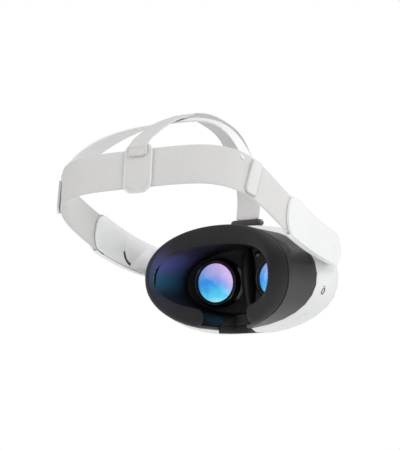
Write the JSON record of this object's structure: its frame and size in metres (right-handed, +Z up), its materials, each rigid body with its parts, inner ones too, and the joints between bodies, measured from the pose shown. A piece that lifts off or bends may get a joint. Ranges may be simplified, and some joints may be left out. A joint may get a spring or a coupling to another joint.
{
  "type": "vr headset",
  "caption": "Stand-alone VR headset: rounded visor with sliding lens pods, padded facial interface, speaker arms and an adjustable fabric head strap.",
  "frame": {"origin": "on the flat underside of the visor, in its middle across and just ahead of the nose notch; Z = 0 is the height it rests on", "axes": "+X to the wearer's left, +Y back towards the wearer's head, +Z up"},
  "size_m": [0.1986, 0.2342, 0.1953],
  "materials": {
    "shell_white": "satin fine-textured white",
    "arm_white": "soft-touch satin white",
    "strap_cloth": "knitted light grey elastic webbing",
    "interface_dark": "matt charcoal",
    "foam_dark": "soft knit over foam, near black",
    "shroud_black": "matt black",
    "silicone_dark": "matt silicone",
    "barrel_black": "glossy black",
    "lens_glass": "coated lens, blue and violet sheen",
    "display_panel": "glossy panel",
    "camera_black": "glossy black",
    "sensor_glass": "dark tinted window",
    "steel": "brushed",
    "alloy": "cast, bead blasted",
    "copper": "copper sheet",
    "circuit_board": "green solder mask",
    "cell_wrap": "grey film wrap",
    "lamp_lens": "translucent white"
  },
  "bodies": {
    "visor": {"arm_pivot_left": "steel", "arm_pivot_right": "steel", "audio_jack": "camera_black", "battery": "cell_wrap", "chassis": "alloy", "chassis_screw_1": "steel", "chassis_screw_2": "steel", "chassis_screw_3": "steel", "chassis_screw_4": "steel", "depth_projector": "camera_black", "fan_housing": "shroud_black", "front_cover": "shell_white", "heatsink": "copper", "lens_rail_lower": "steel", "lens_rail_upper": "steel", "lens_shroud": "shroud_black", "mainboard": "circuit_board", "nose_trim": "silicone_dark", "passthrough_camera_left": "camera_black", "passthrough_camera_right": "camera_black", "processor": "camera_black", "proximity_sensor": "camera_black", "rear_shell": "shell_white", "sensor_window": "sensor_glass", "status_lamp": "lamp_lens", "strap_anchor": "interface_dark", "tracking_camera_left": "camera_black", "tracking_camera_right": "camera_black", "usb_c_port": "steel"},
    "left_lens_pod": {"lens_barrel_left": "barrel_black", "lens_left": "lens_glass", "display_left": "display_panel"},
    "right_lens_pod": {"lens_barrel_right": "barrel_black", "lens_right": "lens_glass", "display_right": "display_panel"},
    "ipd_drive": {"lead_screw": "steel", "ipd_wheel": "shell_white"},
    "fan": {"fan_rotor": "shroud_black"},
    "power_key": {"power_button": "shell_white"},
    "volume_key": {"volume_rocker": "shell_white"},
    "face_interface": {"interface_frame": "interface_dark", "face_cushion": "foam_dark"},
    "head_strap": {"arm_left": "arm_white", "arm_liner_left": "arm_white", "speaker_left": "camera_black", "arm_right": "arm_white", "arm_liner_right": "arm_white", "speaker_right": "camera_black", "rear_band": "strap_cloth", "crown_band": "strap_cloth", "top_strap": "strap_cloth", "top_strap_stem": "strap_cloth", "hook_tab": "strap_cloth"},
    "left_slider": {"strap_slider_left": "arm_white"},
    "right_slider": {"strap_slider_right": "arm_white"}
  },
  "joints": [
    {"name": "strap_tilt", "type": "hinge", "parent": "visor", "child": "head_strap", "pos_m": [0, 0.026, 0.07221], "axis": [1, 0, 0], "range_deg": [-12, 18], "deforming": ["top_strap"]},
    {"name": "interface_depth", "type": "slide", "parent": "visor", "child": "face_interface", "axis": [0, 1, 0], "range_m": [0, 0.008]},
    {"name": "ipd_turn", "type": "hinge", "parent": "visor", "child": "ipd_drive", "pos_m": [0, 0.0021, 0.0115], "axis": [1, 0, 0], "range_deg": [-360, 360]},
    {"name": "lens_slide_left", "type": "slide", "parent": "visor", "child": "left_lens_pod", "axis": [1, 0, 0], "range_m": [-0.0035, 0.0035]},
    {"name": "lens_slide_right", "type": "slide", "parent": "visor", "child": "right_lens_pod", "axis": [1, 0, 0], "range_m": [-0.0035, 0.0035]},
    {"name": "fan_spin", "type": "hinge", "parent": "visor", "child": "fan", "pos_m": [0, -0.0108, 0.032], "axis": [0, 1, 0], "continuous": true},
    {"name": "power_press", "type": "slide", "parent": "visor", "child": "power_key", "axis": [-1, 0, 0], "range_m": [0, 0.0009], "stiffness_N_per_m": 800},
    {"name": "volume_rock", "type": "hinge", "parent": "visor", "child": "volume_key", "pos_m": [-0.052, 0.029, 0.0095], "axis": [0, 1, 0], "range_deg": [-1.5, 1.5], "stiffness_Nm_per_rad": 0.4},
    {"name": "slider_left", "type": "slide", "parent": "head_strap", "child": "left_slider", "axis": [-0.3014, 0.8538, 0.4246], "range_m": [-0.005, 0.005]},
    {"name": "slider_right", "type": "slide", "parent": "head_strap", "child": "right_slider", "axis": [0.3014, 0.8538, 0.4246], "range_m": [-0.005, 0.005]}
  ],
  "couplings": [
    {"joint": "lens_slide_right", "follows": "lens_slide_left", "ratio": -1},
    {"joint": "ipd_turn", "follows": "lens_slide_left", "rad_per_m": 1795.2}
  ]
}
